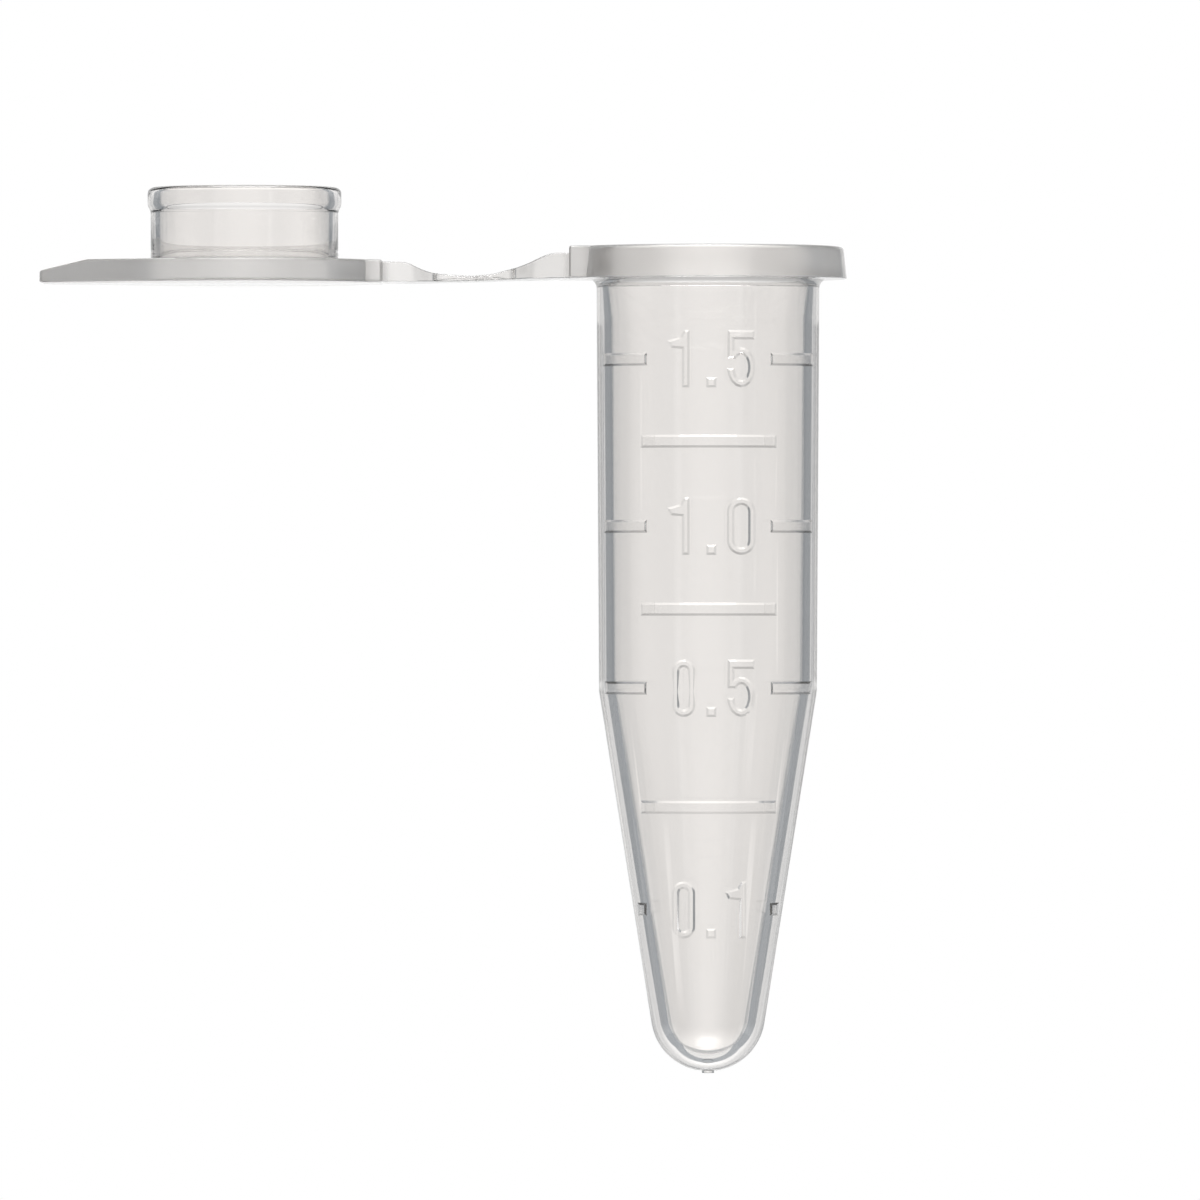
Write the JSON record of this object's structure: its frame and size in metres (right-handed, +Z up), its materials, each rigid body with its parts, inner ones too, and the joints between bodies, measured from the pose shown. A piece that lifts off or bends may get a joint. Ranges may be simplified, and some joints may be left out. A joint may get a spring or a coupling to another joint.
{
  "type": "microcentrifuge tube",
  "caption": "Small round-bottomed conical sample tube with a collar, raised volume marks and an attached snap lid that folds shut on a living hinge.",
  "frame": {"origin": "on the barrel's axis, in the plane of the collar's underside, where the tube hangs in a rack hole", "axes": "+Z up along the barrel towards its mouth, -X from the barrel towards the open lid, -Y the side with the volume marks"},
  "size_m": [0.0388, 0.0134, 0.0426],
  "materials": {
    "thin_wall_plastic": "clear natural polypropylene with a slight haze, polished",
    "thick_wall_plastic": "natural polypropylene, hazier where the moulding is thick",
    "hinge_plastic": "natural polypropylene, thin and slightly milky"
  },
  "bodies": {
    "tube": {"tube_body": "thin_wall_plastic", "collar": "thick_wall_plastic", "hinge_land_tube": "hinge_plastic"},
    "film": {"hinge_film": "hinge_plastic"},
    "lid": {"hinge_land_lid": "hinge_plastic", "lid_disc": "thick_wall_plastic", "thumb_tab": "thick_wall_plastic", "lid_plug": "thin_wall_plastic"}
  },
  "joints": [
    {"name": "lid_fold", "type": "hinge", "parent": "tube", "child": "film", "pos_m": [-0.00992, 0, 0.00001], "axis": [0, 1, 0], "range_deg": [0, 90]},
    {"name": "film_fold", "type": "hinge", "parent": "film", "child": "lid", "pos_m": [-0.01236, 0, 0.00001], "axis": [0, 1, 0], "range_deg": [0, 90]}
  ],
  "couplings": [
    {"joint": "film_fold", "follows": "lid_fold", "ratio": 1}
  ]
}
